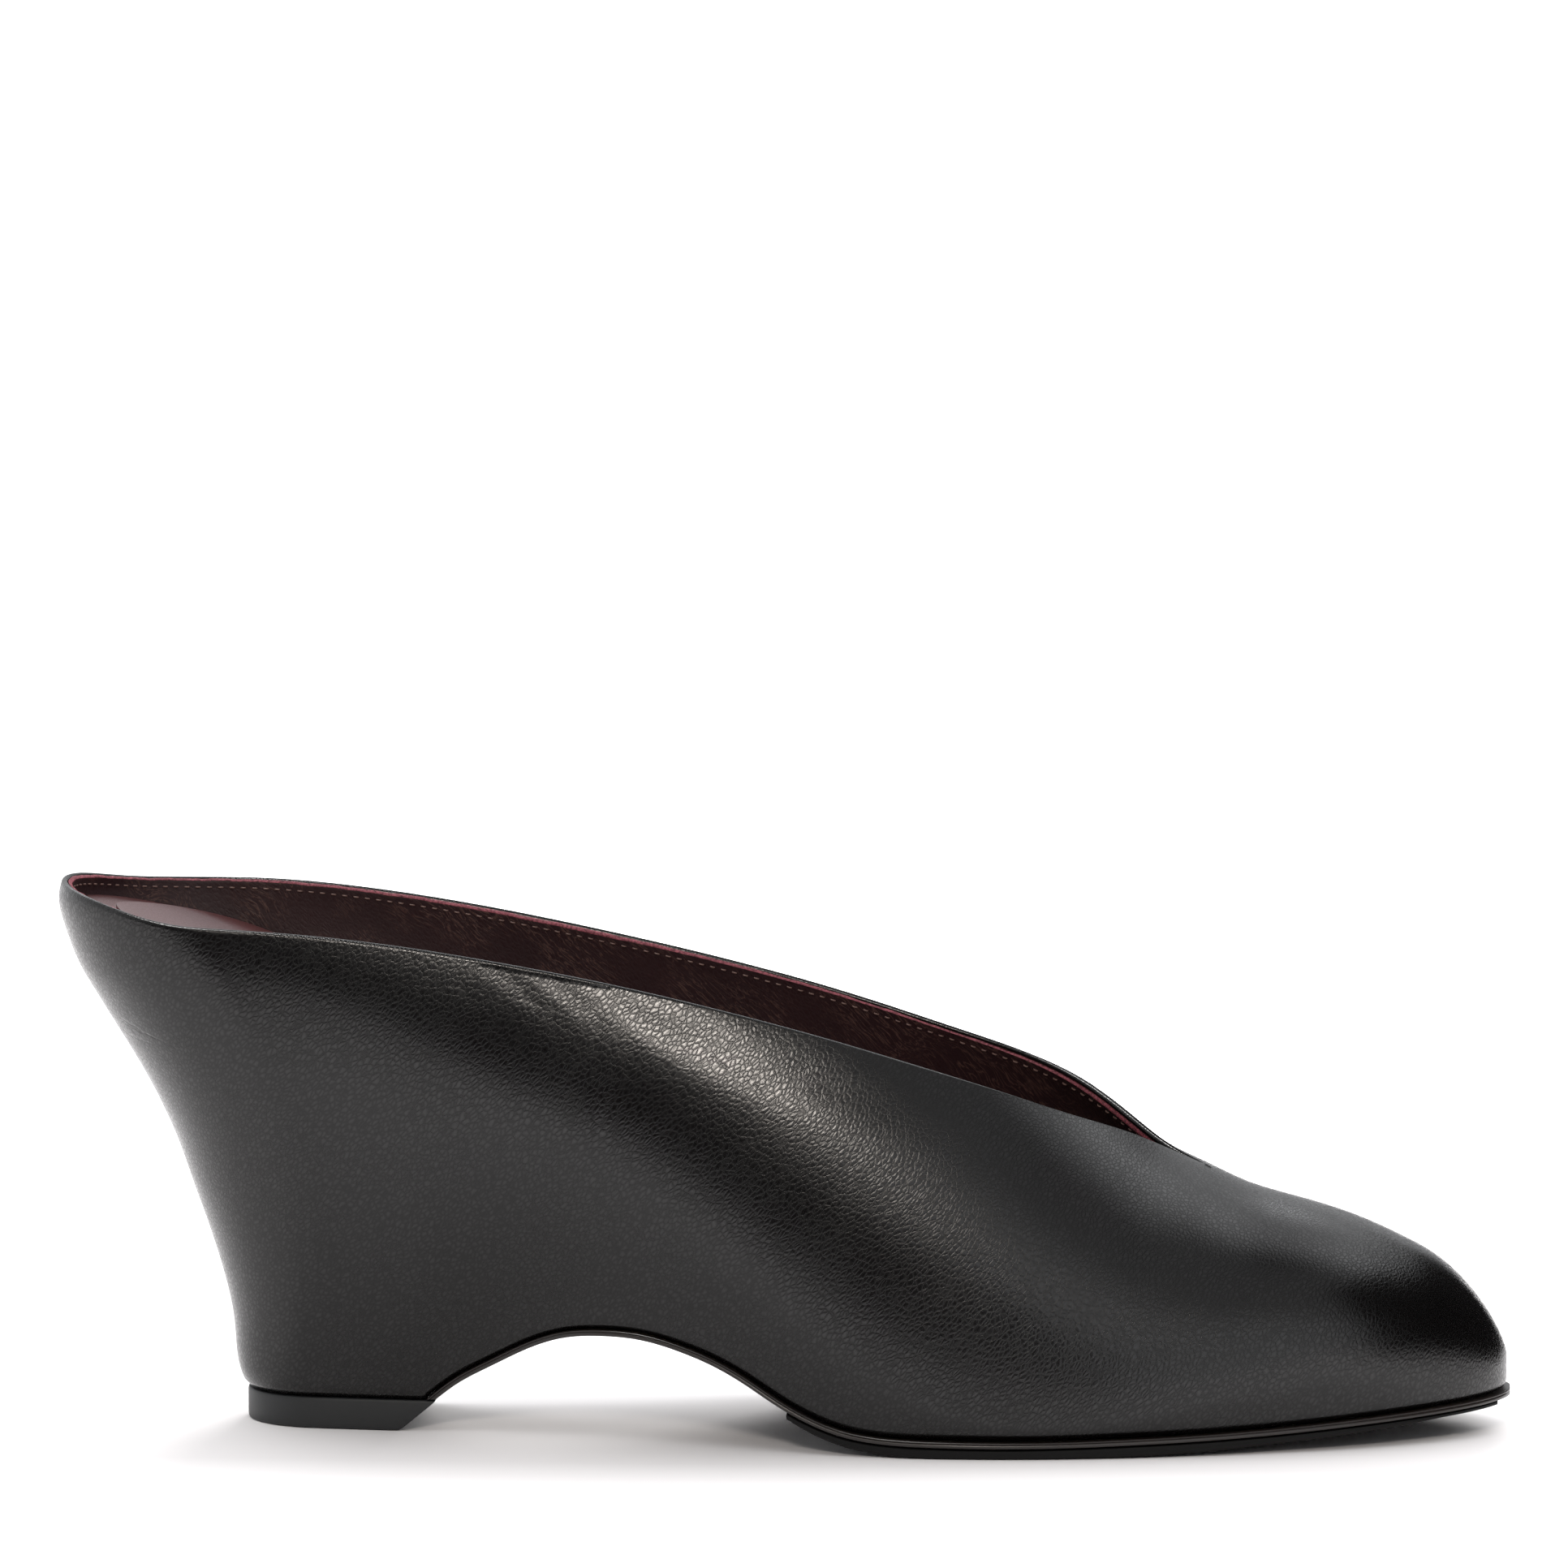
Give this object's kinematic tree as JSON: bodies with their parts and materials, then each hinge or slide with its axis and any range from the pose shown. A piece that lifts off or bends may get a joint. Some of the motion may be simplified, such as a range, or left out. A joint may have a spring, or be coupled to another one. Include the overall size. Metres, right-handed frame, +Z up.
{
  "type": "wedge mule shoe",
  "caption": "Right-foot leather mule with a V-cut throat, a low collar round the heel and a high wedge cut away under the arch.",
  "frame": {"origin": "middle of the heel's top piece on the floor", "axes": "+X from heel to toe, +Y to the inner side of the foot, +Z up"},
  "size_m": [0.2391, 0.0727, 0.0898],
  "materials": {
    "upper_leather": "smooth satin nappa with a fine pebble",
    "insole_leather": "smooth satin",
    "sock_leather": "smooth satin with a raw edge",
    "wedge_core": "matte, light block out of sight under the leather",
    "sole_leather": "waxed edge",
    "tread_rubber": "matte",
    "lift_rubber": "matte"
  },
  "bodies": {
    "root": {"upper": "upper_leather", "insole": "insole_leather", "sock_pad": "sock_leather", "heel_wedge": "wedge_core", "outsole": "sole_leather", "tread": "tread_rubber", "top_lift": "lift_rubber"}
  },
  "joints": []
}
